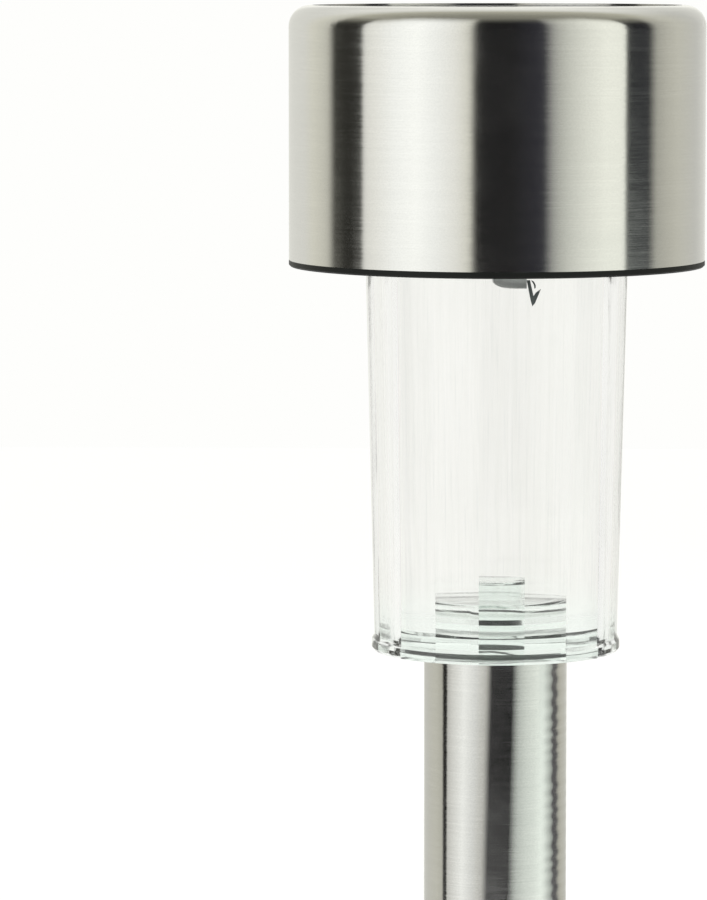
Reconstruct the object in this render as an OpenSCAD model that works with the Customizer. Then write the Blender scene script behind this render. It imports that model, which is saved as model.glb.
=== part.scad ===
// Solar garden stake light: steel drum head with a solar panel, clear fluted lens, steel pole, ground spike.
// Frame: origin on the axis at ground level, +Z up, the viewer stands on the -Y side.

/* [Pole] */
// Outer diameter of the steel pole, a 3/4 inch tube
pole_od = 19.05; // [18:0.05:22]
// Wall of the steel pole
pole_wall = 0.5; // [0.4:0.05:0.8]
// Length of the steel pole
pole_length = 175; // [120:1:400]

/* [Ground spike] */
// Depth of the spike's tip below the ground
spike_depth = 100; // [70:1:160]
// Width across two opposite fins at their top
fin_span = 18.4; // [15:0.1:19]
// Thickness of a fin
fin_thickness = 2.2; // [1.6:0.1:3]
// Height of the collar that the pole stands on
collar_height = 3; // [2:0.5:6]
// Length of the spike's plug inside the pole
plug_length = 22; // [14:1:30]
// Number of crush ribs on the plug
plug_ribs = 6; // [4:1:8]
// Radius of a crush rib
plug_rib_r = 0.7; // [0.5:0.1:0.9]

/* [Lens] */
// Length of the lens between the pole and the head
lens_length = 51.1; // [40:0.1:80]
// Outer diameter of the lens under the head
lens_top_d = 34.7; // [33.5:0.1:35.5]
// Outer diameter of the lens above its bottom bead
lens_bottom_d = 32.2; // [31.5:0.1:33.5]
// Height of the bead round the bottom of the lens
bead_height = 1.9; // [1.2:0.1:3]
// How far the bead stands out of the lens wall
bead_out = 0.4; // [0.2:0.05:0.6]
// Number of flat flutes inside the lens
flute_count = 16; // [13:1:24]
// Turn of the flutes from straight ahead, degrees
flute_turn = 3; // [0:0.5:11]
// Thinnest wall at the bottom of the lens
lens_wall = 1.6; // [1.2:0.1:2]
// How far the full-width lens reaches into the head
lens_entry = 1.5; // [1:0.1:2.5]
// Height of the neck above the head's underside
neck_height = 9; // [7:0.5:12]
// Step in from the lens to its neck
neck_step = 0.85; // [0.7:0.05:1]
// Wall of the neck
neck_wall = 1.25; // [1:0.05:1.5]

/* [Quarter-turn thread] */
// Number of thread starts, each with one ridge and one lug
thread_starts = 3; // [2:1:4]
// Rise of the head in one full turn
thread_lead = 32; // [28:1:40]
// Angle that a ridge covers at one height, degrees
ridge_angle = 14; // [10:1:20]
// How far a ridge stands out of the neck
ridge_out = 0.8; // [0.6:0.05:0.85]
// Height of a lug in the head's socket
lug_height = 2; // [1.5:0.1:3]
// Width of a lug
lug_width = 3; // [2:0.1:4]

/* [Pole adapter] */
// Length of the adapter's spigot inside the pole
spigot_length = 12; // [8:1:20]
// Wall of the adapter's spigot
spigot_wall = 1.3; // [1:0.1:2]
// Bottom of the adapter's solid base above the pole
base_floor = 0.8; // [0.5:0.1:1.5]
// Radius of the well inside the adapter's collar
well_r = 2.9; // [2.4:0.1:4]
// Wall of the adapter's hub
hub_wall = 1; // [0.8:0.1:1.2]
// Thickness of the adapter's roofs
roof_t = 0.6; // [0.5:0.1:1]
// Top of the adapter's flange above the pole
flange_top = 3.6; // [3:0.1:4]
// Radius of the adapter's step
step_r = 9.3; // [8.9:0.1:12]
// Top of the adapter's step above the pole
step_top = 4.4; // [4:0.1:4.8]
// Radius of the adapter's collar
collar_r = 8.5; // [8.3:0.1:8.8]
// Top of the adapter's collar above the pole
collar_top = 6.9; // [6.5:0.1:9]
// Radius of the adapter's hub
hub_r = 3.2; // [2:0.1:6]
// Top of the adapter's hub above the pole
hub_top = 9.5; // [9:0.1:14]
// Slope at the foot of the adapter's collar
collar_slope = 0.6; // [0.4:0.1:1.2]
// Bevel on the adapter's edges
adapter_bevel = 0.4; // [0.1:0.05:0.5]

/* [Head] */
// Outer diameter of the steel cap
cap_od = 55; // [54:0.5:70]
// Height of the steel cap
cap_height = 33.5; // [32.5:0.5:45]
// Sheet thickness of the steel cap
cap_wall = 0.5; // [0.4:0.1:0.7]
// Outer radius of the rounded shoulder
shoulder_r = 2.8; // [2:0.1:3]
// Width of the flat lip round the opening, inside the shoulder
lip_width = 0.4; // [0.2:0.1:0.8]
// Thickness of the black rim that shows under the cap
rim_thickness = 0.85; // [0.6:0.05:1.5]
// Thickness of the base plate inside the cap
base_thickness = 3.5; // [3.2:0.1:5]
// Wall of the black housing under the steel
housing_wall = 1.5; // [1.2:0.1:1.8]
// Thickness of the housing's top plate
top_plate = 2; // [1.6:0.1:2.4]
// Depth of the panel face below the steel lip
panel_depth = 0.3; // [0.2:0.05:0.5]
// Wall of the socket that takes the lens neck
socket_wall = 1.4; // [1.2:0.1:1.8]
// Thickness of the deck above the lens
deck_thickness = 2; // [1.6:0.1:3]
// Height of the rubber seal between neck and deck
seal_height = 1.5; // [1:0.1:2.5]
// Number of cover screws
screw_count = 3; // [3:1:4]
// Radius of a cover screw's thread
screw_r = 1.15; // [1:0.05:1.3]
// Radius of a cover screw's head
screw_head_r = 2.1; // [1.9:0.1:2.2]
// Height of a cover screw's head
screw_head_h = 1.4; // [1.1:0.1:1.5]
// Length of a cover screw's thread
screw_length = 8; // [6:0.5:10]

/* [Solar panel] */
// Width of the square solar panel
panel_width = 29; // [26:0.1:30]
// Thickness of the panel's board
panel_board_t = 1; // [0.8:0.1:1.4]
// Thickness of the clear resin over the board
resin_t = 1.4; // [1:0.1:1.8]
// Number of solar cell strips
cell_count = 4; // [2:1:6]
// Thickness of a solar cell
cell_t = 0.3; // [0.2:0.05:0.4]
// Gap between two cells, and from the cells to the panel's edge
cell_gap = 0.6; // [0.4:0.1:1]
// Width of a busbar ribbon
busbar_width = 1.2; // [0.8:0.1:2]
// Thickness of a busbar ribbon
busbar_t = 0.1; // [0.08:0.01:0.2]

/* [Battery] */
// Diameter of the battery can, 2/3 AAA
battery_d = 10.2; // [9.8:0.1:10.4]
// Length of the battery with its nipple
battery_length = 28.5; // [26:0.5:29]
// Radius of the battery's nipple
nipple_r = 1.9; // [1.5:0.1:2.5]
// Height of the battery's nipple
nipple_h = 1; // [0.8:0.1:1.5]
// Thickness of the battery's sleeve
sleeve_t = 0.15; // [0.1:0.05:0.2]
// Length of the pressed contact spring
spring_length = 3.3; // [3:0.1:4]
// Radius of the spring's wire
spring_wire_r = 0.3; // [0.25:0.05:0.4]
// Turns of the contact spring
spring_turns = 3.5; // [2.5:0.5:4]
// Thickness of a contact plate
contact_t = 0.4; // [0.3:0.05:0.5]

/* [Circuit board and lamp] */
// Width of the circuit board
board_width = 26; // [25:0.5:27]
// Depth of the circuit board, front to back
board_depth = 18; // [17:0.5:18.5]
// Thickness of the circuit board
board_t = 1.2; // [0.8:0.1:1.6]
// Height of the board's posts above the deck
board_lift = 3.6; // [3.4:0.1:4.4]
// Diameter of the lamp's clear body
led_d = 4.8; // [4:0.1:5]
// Length of the lamp's clear body under its rim
led_length = 3.7; // [3:0.1:5]
// Radius of the lamp's lower edge
led_round = 1.1; // [0.6:0.1:1.4]
// Depth of the lamp's end below the head's underside
led_drop = 2.8; // [2:0.1:4]
// Distance of the lamp to the right of the axis
led_x = 2.5; // [0:0.1:3]

/* [Switch] */
// Length of the slide switch's body
switch_length = 8.6; // [7:0.1:9]
// Width of the slide switch's body
switch_width = 4.4; // [3.6:0.1:5]
// Travel of the switch knob
switch_travel = 2; // [1.5:0.1:2.5]
// Length and width of the switch knob
knob_size = 1.8; // [1.4:0.1:2.2]
// How far the knob reaches below the deck
knob_drop = 2; // [1.5:0.1:3]

/* [Clearances] */
// Radial gap of a push fit
fit_gap = 0.08; // [0.04:0.01:0.1]
// Gap beside pieces that slide past each other
slide_gap = 0.3; // [0.25:0.05:0.4]
// Gap beside pieces that are fixed together
seat_gap = 0.1; // [0.05:0.05:0.15]

/* [Hidden] */
$fn = 96;

// Heights
lens_z = pole_length;
rim_z = lens_z + lens_length;
cap_z = rim_z + rim_thickness;
cap_top_z = cap_z + cap_height;
neck_z = rim_z + lens_entry;
neck_top_z = rim_z + neck_height;
deck_z = neck_top_z + seal_height;
deck_top_z = deck_z + deck_thickness;
base_top_z = rim_z + base_thickness;
lip_under_z = cap_top_z - cap_wall;
plate_under_z = lip_under_z - top_plate;
panel_top_z = cap_top_z - panel_depth;
panel_board_z = panel_top_z - resin_t - panel_board_t;
tray_z = panel_board_z - housing_wall;
board_z = deck_top_z + board_lift;
board_top_z = board_z + board_t;

// Radii
pole_r = pole_od / 2;
pole_in_r = pole_r - pole_wall;
lens_top_r = lens_top_d / 2;
lens_bottom_r = lens_bottom_d / 2;
neck_r = lens_top_r - neck_step;
neck_in_r = neck_r - neck_wall;
ridge_r = neck_r + ridge_out;
socket_r = lens_top_r + slide_gap;
socket_out_r = socket_r + socket_wall;
cap_r = cap_od / 2;
cap_in_r = cap_r - cap_wall;
opening_r = cap_r - shoulder_r - lip_width;
housing_r = cap_in_r - seat_gap;
housing_in_r = housing_r - housing_wall;
base_r = housing_in_r - seat_gap;

// Inside of the lens: flats at the bottom, corners at the neck's bore
flat_share = cos(180 / flute_count);
flute_bottom_r = (lens_bottom_r - lens_wall) / flat_share;
flute_top_r = neck_in_r;

// Quarter-turn thread: a lug waits just past its ridge
lug_z = neck_z + slide_gap;
lug_in_r = neck_r + slide_gap;
lug_half_angle = asin(lug_width / 2 / lug_in_r);
lug_angle = 360 * (lug_z + lug_height - neck_z) / thread_lead + lug_half_angle + asin(slide_gap / neck_r);

// Cover screws and their posts
screw_circle_r = (socket_out_r + base_r) / 2 + 1;
post_r = screw_r + 1.15;
screw_seat_z = rim_z + screw_head_h + seat_gap * 2;

// Battery: centred between its contacts behind the board
sleeve_r = battery_d / 2 + sleeve_t;
battery_y = 12;
battery_z = deck_top_z + 0.8 + sleeve_r;
bay_length = battery_length + spring_length + 2 * contact_t;
flat_plate_x = bay_length / 2 - contact_t;
spring_plate_x = contact_t - bay_length / 2;
battery_end_x = spring_plate_x + spring_length;
contact_width = 8;
wall_t = 1.4;
wall_width = contact_width + 3;
wall_top_z = battery_z + battery_d / 2 - 0.3;
tab_top_z = battery_z + battery_d / 2 + 1.4;
tab_y = battery_y - contact_width / 2 + 0.5;

// Circuit board, its screws and its parts
board_y = 3.5 - board_depth / 2;
board_screw_x = board_width / 2 - 2.6;
board_screw_y = board_y - board_depth / 2 + 2.8;
board_screw_r = 0.9;
board_post_r = 2;
led_rim_r = led_d / 2 + 0.35;
led_rim_t = 0.8;
led_z = rim_z - led_drop;
led_rim_z = led_z + led_length;
led_pitch = 2.54;
leg_width = 0.5;
boss_r = led_rim_r + 1.2;
switch_x = -6.5;
switch_y = -7;
switch_height = board_lift - 0.2;
knob_z = deck_z - knob_drop;
knob_top_z = board_z - switch_height + 1.2;
wire_r = 0.6;
panel_pad = [6, -6];
panel_lead = [4, board_y - board_depth / 2 + 2];
battery_lead = [board_width / 2 - 1.5, board_y + board_depth / 2 - 2];

// ---- helpers ----

// Corners of a regular figure of n sides with radius r, one flat square to the turn
function corners(n, r, turn) = [for (i = [0:n - 1]) r * [cos(360 * (i + 0.5) / n + turn),
                                                        sin(360 * (i + 0.5) / n + turn)]];

// Outline of a piece of a ring between two radii and two angles
function ring_sector(r_in, r_out, from, to, steps = 3) = concat(
    [for (i = [0:steps]) r_in * [cos(from + (to - from) * i / steps), sin(from + (to - from) * i / steps)]],
    [for (i = [steps:-1:0]) r_out * [cos(from + (to - from) * i / steps), sin(from + (to - from) * i / steps)]]);

function unit(v) = v / norm(v);

// Point and heading at share t of the curve led by four control points
function curve_point(c, t) = pow(1 - t, 3) * c[0] + 3 * t * pow(1 - t, 2) * c[1]
    + 3 * t * t * (1 - t) * c[2] + pow(t, 3) * c[3];
function curve_way(c, t) = unit(pow(1 - t, 2) * (c[1] - c[0]) + 2 * t * (1 - t) * (c[2] - c[1])
    + t * t * (c[3] - c[2]));

// Ring of points round a centre, square to its heading
function ring(centre, way, across, r, sides) =
    let (u = unit(cross(way, across)), v = cross(way, u))
    [for (k = [0:sides - 1]) centre + r * (cos(360 * k / sides) * u + sin(360 * k / sides) * v)];

// Round bar that follows points with the given headings
module swept_bar(points, ways, across, r, sides = 8) {
    last = len(points) - 1;
    rings = [for (i = [0:last]) each ring(points[i], ways[i], across, r, sides)];
    sides_faces = [for (i = [0:last - 1], k = [0:sides - 1])
        let (a = i * sides + k, b = i * sides + (k + 1) % sides) [a, a + sides, b + sides, b]];
    start_face = [for (k = [0:sides - 1]) k];
    end_face = [for (k = [sides - 1:-1:0]) last * sides + k];
    polyhedron(points = rings, faces = concat([start_face], sides_faces, [end_face]));
}

// Insulated wire along a curve with four control points
module wire(control, steps = 10) {
    swept_bar([for (i = [0:steps]) curve_point(control, i / steps)],
              [for (i = [0:steps]) curve_way(control, i / steps)], [0, 1, 0.01], wire_r);
}

// Ring between two radii
module tube(r_out, r_in, h) {
    difference() {
        cylinder(r = r_out, h = h);
        translate([0, 0, -1]) cylinder(r = r_in, h = h + 2);
    }
}

// Half profile of a drum with a rounded top corner
module drum_profile(r, h, corner) {
    square([r, h - corner]);
    square([r - corner, h]);
    translate([r - corner, h - corner]) circle(r = corner);
}

// Box centred in x and y that stands on z = 0
module block(size) {
    translate([-size.x / 2, -size.y / 2, 0]) cube(size);
}

// Copies its children round the axis
module around(count, start = 0) {
    for (i = [0:count - 1]) rotate(start + 360 * i / count) children();
}

// ---- ground spike and pole ----

// One fin blade, drawn from the collar down to the tip
module fin_blade() {
    shoulder_z = -collar_height - 0.2 * spike_depth;
    rotate([90, 0, 0])
        linear_extrude(height = fin_thickness, center = true)
            polygon([[-fin_span / 2, -collar_height], [fin_span / 2, -collar_height],
                     [fin_span / 2 - 0.4, shoulder_z], [0.6, -spike_depth], [-0.6, -spike_depth],
                     [0.4 - fin_span / 2, shoulder_z]]);
}

module ground_spike() color([0.07, 0.07, 0.075]) {
    rib_r = pole_in_r - fit_gap - plug_rib_r;
    core_r = rib_r + 0.1;
    bore_r = core_r - 2;
    difference() {
        union() {
            translate([0, 0, -collar_height]) cylinder(r = pole_r, h = collar_height);
            translate([0, 0, -0.5]) cylinder(r = core_r, h = plug_length - 1);
            translate([0, 0, plug_length - 1.5]) cylinder(r1 = core_r, r2 = core_r - 1.2, h = 1.5);
            around(plug_ribs) translate([rib_r, 0, -0.5]) cylinder(r = plug_rib_r, h = plug_length - 2);
            fin_blade();
            rotate(90) fin_blade();
            translate([0, 0, -0.8 * spike_depth]) cylinder(r1 = 0.6, r2 = 2.6, h = 0.8 * spike_depth - 1);
        }
        cylinder(r = bore_r, h = plug_length + 1);
    }
}

module pole_tube() color([0.76, 0.75, 0.73]) {
    tube(pole_r, pole_in_r, pole_length);
}

// ---- lens and its adapter ----

// One steep ridge of the quarter-turn thread
module thread_ridge() {
    height = neck_top_z - neck_z;
    translate([0, 0, neck_z])
        linear_extrude(height = height, twist = -360 * height / thread_lead, slices = 12, $fn = 8)
            polygon(ring_sector(neck_r - 0.5, ridge_r, -ridge_angle, 0));
}

// Solid outer form of the lens with its bead and neck
module lens_body() {
    bead_r = lens_bottom_r + bead_out;
    rotate_extrude()
        polygon([[0, lens_z], [bead_r - 0.3, lens_z], [bead_r, lens_z + 0.4],
                 [bead_r, lens_z + bead_height - 0.5], [lens_bottom_r + 0.05, lens_z + bead_height],
                 [lens_top_r, rim_z], [lens_top_r, neck_z], [neck_r, neck_z], [neck_r, neck_top_z],
                 [0, neck_top_z]]);
}

module lens() color([0.9, 0.95, 0.92, 0.5]) {
    flute_height = neck_z - lens_z + 2;
    difference() {
        union() {
            lens_body();
            around(thread_starts) thread_ridge();
        }
        translate([0, 0, lens_z - 1])
            linear_extrude(height = flute_height, scale = flute_top_r / flute_bottom_r, slices = 1, $fn = 8)
                polygon(corners(flute_count, flute_bottom_r, flute_turn - 90));
        translate([0, 0, lens_z + flute_height - 1.5]) cylinder(r = neck_in_r, h = neck_height + 4);
    }
}

module pole_adapter() color([0.85, 0.93, 0.89, 0.6]) {
    flange_r = lens_bottom_r - lens_wall - 2 * seat_gap;
    spigot_r = pole_in_r - fit_gap;
    spigot_in_r = spigot_r - spigot_wall;
    hub_in_r = hub_r - hub_wall;
    bevel = adapter_bevel;
    rotate_extrude()
        polygon([[spigot_in_r, lens_z - spigot_length], [spigot_r - 0.6, lens_z - spigot_length],
                 [spigot_r, lens_z - spigot_length + 1.5], [spigot_r, lens_z], [flange_r, lens_z],
                 [flange_r, lens_z + flange_top - bevel], [flange_r - bevel, lens_z + flange_top],
                 [step_r, lens_z + flange_top], [step_r, lens_z + step_top],
                 [collar_r, lens_z + step_top + collar_slope], [collar_r, lens_z + collar_top - bevel],
                 [collar_r - bevel, lens_z + collar_top], [hub_r, lens_z + collar_top],
                 [hub_r, lens_z + hub_top - bevel], [hub_r - bevel, lens_z + hub_top],
                 [0, lens_z + hub_top], [0, lens_z + hub_top - roof_t],
                 [hub_in_r, lens_z + hub_top - roof_t], [hub_in_r, lens_z + collar_top - roof_t],
                 [well_r, lens_z + collar_top - roof_t], [well_r, lens_z + base_floor],
                 [spigot_in_r, lens_z + base_floor]]);
}

module seal_ring() color([0.12, 0.12, 0.12]) {
    translate([0, 0, neck_top_z]) tube(neck_r - 0.1, neck_in_r + 0.1, seal_height);
}

// ---- head: base, housing and cap ----

// Flat rim, inner disc and the wall and roof of the lens socket, still solid inside
module base_disc() {
    edge = rim_thickness / 4;
    rotate_extrude()
        polygon([[0, rim_z], [cap_r - edge, rim_z], [cap_r, rim_z + edge], [cap_r, cap_z],
                 [base_r, cap_z], [base_r, base_top_z], [socket_out_r, base_top_z],
                 [socket_out_r, deck_top_z], [0, deck_top_z]]);
}

// End wall of the battery bay, from the base plate up
module bay_wall(x) {
    translate([x, battery_y, base_top_z - 0.5]) block([wall_t, wall_width, wall_top_z - base_top_z + 0.5]);
}

// Rib with a round seat under the battery
module battery_saddle(x) {
    seat_r = sleeve_r + 0.05;
    difference() {
        translate([x, battery_y, deck_top_z - 0.5]) block([1.6, contact_width + 2, sleeve_r - 1.2]);
        translate([x - 2, battery_y, battery_z]) rotate([0, 90, 0]) cylinder(r = seat_r, h = 4);
    }
}

// Hollow of the lens socket, with the lamp's boss and the lugs left standing
module socket_hollow() {
    difference() {
        translate([0, 0, rim_z - 1]) cylinder(r = socket_r, h = deck_z - rim_z + 1);
        translate([led_x, 0, led_rim_z]) cylinder(r = boss_r, h = deck_z - led_rim_z + 1);
        around(thread_starts, lug_angle)
            translate([lug_in_r, -lug_width / 2, lug_z]) cube([socket_out_r - lug_in_r, lug_width, lug_height]);
    }
}

// Holes for the cover screws, with seats for their heads
module screw_hole() {
    translate([screw_circle_r, 0, rim_z - 1]) cylinder(r = screw_r + seat_gap, h = base_thickness + 2);
    translate([screw_circle_r, 0, rim_z - 1]) cylinder(r = screw_head_r + 2 * seat_gap, h = screw_seat_z - rim_z + 1);
}

module base_plate() color([0.06, 0.06, 0.065]) {
    wall_x = bay_length / 2 + wall_t / 2;
    saddle_x = bay_length / 4;
    knob_slot = [knob_size + switch_travel + 2 * slide_gap, knob_size + 2 * slide_gap, deck_thickness + 2];
    difference() {
        union() {
            base_disc();
            bay_wall(wall_x);
            bay_wall(-wall_x);
            battery_saddle(saddle_x);
            battery_saddle(-saddle_x);
            for (side = [-1, 1])
                translate([side * board_screw_x, board_screw_y, deck_top_z - 0.5])
                    cylinder(r = board_post_r, h = board_lift + 0.5);
        }
        socket_hollow();
        around(screw_count, 90) screw_hole();
        for (side = [-1, 1])
            translate([side * board_screw_x, board_screw_y, deck_top_z])
                cylinder(r = board_screw_r + seat_gap / 2, h = board_lift + 1);
        translate([switch_x, switch_y, deck_z - 1]) block(knob_slot);
        translate([led_x, 0, led_rim_z - 1]) cylinder(r = led_rim_r + seat_gap / 2, h = led_rim_t + 1);
        translate([led_x, 0, led_rim_z]) cylinder(r = led_pitch / 2 + leg_width, h = deck_top_z - led_rim_z + 1);
    }
}

module top_housing() color([0.05, 0.05, 0.055]) {
    corner = shoulder_r - cap_wall;
    inner_corner = corner - 1;
    recess = panel_width + 2 * seat_gap;
    tray = recess + 2 * housing_wall;
    difference() {
        union() {
            difference() {
                translate([0, 0, cap_z]) rotate_extrude() drum_profile(housing_r, lip_under_z - cap_z, corner);
                translate([0, 0, cap_z - 1])
                    rotate_extrude() drum_profile(housing_in_r, plate_under_z - cap_z + 1, inner_corner);
            }
            translate([0, 0, lip_under_z - 0.5]) cylinder(r = opening_r - seat_gap, h = panel_top_z - lip_under_z + 0.5);
            translate([0, 0, tray_z]) block([tray, tray, plate_under_z - tray_z + 0.5]);
            around(screw_count, 90)
                translate([screw_circle_r, 0, base_top_z]) cylinder(r = post_r, h = plate_under_z - base_top_z + 0.5);
        }
        translate([0, 0, panel_board_z]) block([recess, recess, 5]);
        for (side = [-1, 1])
            translate([side * panel_pad.x, panel_pad.y, tray_z - 1]) cylinder(r = wire_r + 0.6, h = 5);
        around(screw_count, 90)
            translate([screw_circle_r, 0, base_top_z - 1]) cylinder(r = screw_r + seat_gap / 2, h = screw_length);
    }
}

module cap_shell() color([0.78, 0.77, 0.75]) {
    difference() {
        translate([0, 0, cap_z]) rotate_extrude() drum_profile(cap_r, cap_height, shoulder_r);
        translate([0, 0, cap_z - 1])
            rotate_extrude() drum_profile(cap_in_r, cap_height - cap_wall + 1, shoulder_r - cap_wall);
        translate([0, 0, cap_top_z - 2]) cylinder(r = opening_r, h = 3);
    }
}

// Screw that points up, its head's upper face at z = 0
module screw(r, length, head_r, head_h) {
    translate([0, 0, -0.2]) cylinder(r = r, h = length - 0.8);
    translate([0, 0, length - 1]) cylinder(r1 = r, r2 = r / 3, h = 1);
    difference() {
        translate([0, 0, -head_h]) cylinder(r = head_r, h = head_h);
        for (turn = [0, 90])
            rotate(turn) translate([0, 0, -head_h - 1]) block([head_r * 1.3, head_r * 0.3, 1 + head_h * 0.5]);
    }
}

module cover_screws() color([0.6, 0.6, 0.6]) {
    around(screw_count, 90)
        translate([screw_circle_r, 0, screw_seat_z]) screw(screw_r, screw_length - 1, screw_head_r, screw_head_h);
}

// ---- solar panel ----

module panel_board() color([0.1, 0.16, 0.12]) {
    translate([0, 0, panel_board_z]) block([panel_width, panel_width, panel_board_t]);
}

// Cells side by side on the board, each grown by `grow` for the pocket in the resin
module cell_strips(grow = 0) {
    span = panel_width - 2 * cell_gap;
    pitch = (span + cell_gap) / cell_count;
    for (i = [0:cell_count - 1])
        translate([(i - (cell_count - 1) / 2) * pitch, 0, panel_board_z + panel_board_t])
            block([pitch - cell_gap + grow, span + grow, cell_t + grow / 2]);
}

// Two ribbons across all cells
module busbar_strips(grow = 0) {
    span = panel_width - 2 * cell_gap;
    for (side = [-1, 1])
        translate([0, side * span / 4, panel_board_z + panel_board_t + cell_t])
            block([span + grow, busbar_width + grow, busbar_t + grow / 2]);
}

module solar_cells() color([0.04, 0.06, 0.16]) cell_strips();

module cell_busbars() color([0.75, 0.75, 0.77]) busbar_strips();

module panel_resin() color([0.2, 0.25, 0.3, 0.4]) {
    difference() {
        translate([0, 0, panel_board_z + panel_board_t]) block([panel_width, panel_width, resin_t]);
        translate([0, 0, -0.01]) cell_strips(0.1);
        busbar_strips(0.1);
    }
}

// ---- battery and contacts ----

// Turns an upright form to lie along +X at the battery's height
module along_bay(x) {
    translate([x, battery_y, battery_z]) rotate([0, 90, 0]) children();
}

module battery_can() color([0.7, 0.7, 0.72]) {
    can_length = battery_length - nipple_h;
    along_bay(battery_end_x) cylinder(r = battery_d / 2, h = can_length);
    along_bay(battery_end_x + can_length - 0.2) cylinder(r = nipple_r, h = nipple_h + 0.2);
}

module battery_sleeve() color([0.1, 0.45, 0.25]) {
    can_length = battery_length - nipple_h;
    along_bay(battery_end_x + 0.3) tube(sleeve_r, battery_d / 2, can_length - 0.6);
}

module contact_spring() color([0.8, 0.8, 0.8]) {
    wide_r = battery_d / 2 - 1.6;
    narrow_r = wide_r - 1.2;
    start_x = spring_plate_x + spring_wire_r;
    rise = spring_length - 2 * spring_wire_r;
    steps = 14 * spring_turns;
    turn = 360 * spring_turns;
    points = [for (i = [0:steps]) let (t = i / steps, r = wide_r + (narrow_r - wide_r) * t)
        [start_x + rise * t, battery_y + r * cos(turn * t), battery_z + r * sin(turn * t)]];
    ways = [for (i = [0:steps]) unit(points[min(i + 1, steps)] - points[max(i - 1, 0)])];
    swept_bar(points, ways, [1, 0, 0], spring_wire_r, 6);
}

// Plate with a solder tab, its lower x face at x
module contact_plate(x) {
    plate_height = tab_top_z - deck_top_z - 1.6;
    translate([x, battery_y - contact_width / 2, battery_z - battery_d / 2 + 0.4])
        cube([contact_t, contact_width, battery_d - 1]);
    translate([x, tab_y - 1, tab_top_z - plate_height]) cube([contact_t, 2, plate_height]);
}

module contact_plates() color([0.85, 0.83, 0.75]) {
    contact_plate(flat_plate_x);
    contact_plate(spring_plate_x - contact_t);
}

// ---- circuit board and lamp ----

// The two places of the lamp's legs
module at_legs() {
    for (side = [-1, 1]) translate([led_x + side * led_pitch / 2, 0, 0]) children();
}

module circuit_board() color([0.1, 0.35, 0.2]) {
    difference() {
        translate([0, board_y, board_z]) block([board_width, board_depth, board_t]);
        at_legs() translate([0, 0, board_z - 1]) cylinder(r = leg_width * 0.8, h = board_t + 2);
        for (side = [-1, 1])
            translate([side * board_screw_x, board_screw_y, board_z - 1])
                cylinder(r = board_screw_r + seat_gap, h = board_t + 2);
    }
}

module board_screws() color([0.65, 0.65, 0.65]) {
    for (side = [-1, 1])
        translate([side * board_screw_x, board_screw_y, board_top_z])
            mirror([0, 0, 1]) screw(board_screw_r, board_lift, board_screw_r * 2, 1.1);
}

module driver_chip() color([0.08, 0.08, 0.08]) {
    body = [4.9, 3.9, 1.4];
    translate([-6, -5.5, board_top_z + 0.15]) block(body);
    for (row = [-1, 1], i = [0:3])
        translate([-6 + (i - 1.5) * 1.27, -5.5 + row * (body.y / 2 + 0.4), board_top_z]) block([0.4, 1.2, 0.5]);
}

module inductor() color([0.2, 0.2, 0.22]) {
    translate([7.5, -6, board_top_z]) {
        cylinder(r = 2.6, h = 0.8);
        cylinder(r = 2.1, h = 4.2);
        translate([0, 0, 3.4]) cylinder(r = 2.6, h = 0.8);
    }
}

module led() color([0.95, 0.96, 0.98, 0.6]) {
    r = led_d / 2;
    translate([led_x, 0, led_z]) mirror([0, 0, 1]) translate([0, 0, -led_length])
        rotate_extrude() drum_profile(r, led_length, led_round);
    translate([led_x, 0, led_rim_z - 0.1]) cylinder(r = led_rim_r, h = led_rim_t + 0.1);
}

module led_legs() color([0.75, 0.75, 0.76]) {
    foot_z = led_rim_z + led_rim_t;
    at_legs() translate([0, 0, foot_z]) block([leg_width, leg_width, board_top_z + 0.8 - foot_z]);
}

// ---- switch ----

module switch_body() color([0.7, 0.7, 0.7]) {
    body_z = board_z - switch_height;
    pocket = [knob_size + switch_travel + 2 * slide_gap, knob_size + 2 * slide_gap, knob_top_z - body_z + seat_gap + 1];
    difference() {
        translate([switch_x, switch_y, body_z]) block([switch_length, switch_width, switch_height]);
        translate([switch_x, switch_y, body_z - 1]) block(pocket);
    }
}

module switch_knob() color([0.03, 0.03, 0.03]) {
    translate([switch_x - switch_travel / 2, switch_y, knob_z]) block([knob_size, knob_size, knob_top_z - knob_z]);
}

// ---- wires ----

// Lead from the solar panel down to the circuit board
module panel_wire(side) {
    top = [side * panel_pad.x, panel_pad.y, panel_board_z];
    foot = [side * panel_lead.x, panel_lead.y, board_top_z];
    wire([top, top - [0, 0, 7], foot + [0, 0, 7], foot]);
}

// Lead from a battery contact's tab to the circuit board
module battery_wire(side, plate_x) {
    start = [plate_x, tab_y, tab_top_z - 0.8];
    foot = [side * battery_lead.x, battery_lead.y, board_top_z];
    wire([start, start - [side * 3, 0, 0], foot + [0, 0, 5], foot]);
}

module red_wires() color([0.75, 0.08, 0.06]) {
    panel_wire(1);
    battery_wire(1, flat_plate_x);
}

module black_wires() color([0.05, 0.05, 0.05]) {
    panel_wire(-1);
    battery_wire(-1, spring_plate_x);
}

ground_spike();
pole_tube();
lens();
pole_adapter();
seal_ring();
base_plate();
top_housing();
cap_shell();
cover_screws();
panel_board();
solar_cells();
cell_busbars();
panel_resin();
battery_can();
battery_sleeve();
contact_spring();
contact_plates();
circuit_board();
board_screws();
driver_chip();
inductor();
led();
led_legs();
switch_body();
switch_knob();
red_wires();
black_wires();
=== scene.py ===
"""Looks of a solar garden stake light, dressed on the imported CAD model.

The CAD nodes stay as they are and get their finishes here. What is added rides on the CAD bodies: the
alignment mark on the lens, the lead frame inside the lamp and the winding of the coil. A studio stands
round them. All lengths are in metres, in the frame of the part: the origin on the pole's axis at its lower
end, +Z up, the viewer on the -Y side.
"""

from __future__ import annotations

import logging
import math
from dataclasses import dataclass, field
from enum import Enum
from typing import Iterable, Sequence

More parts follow.
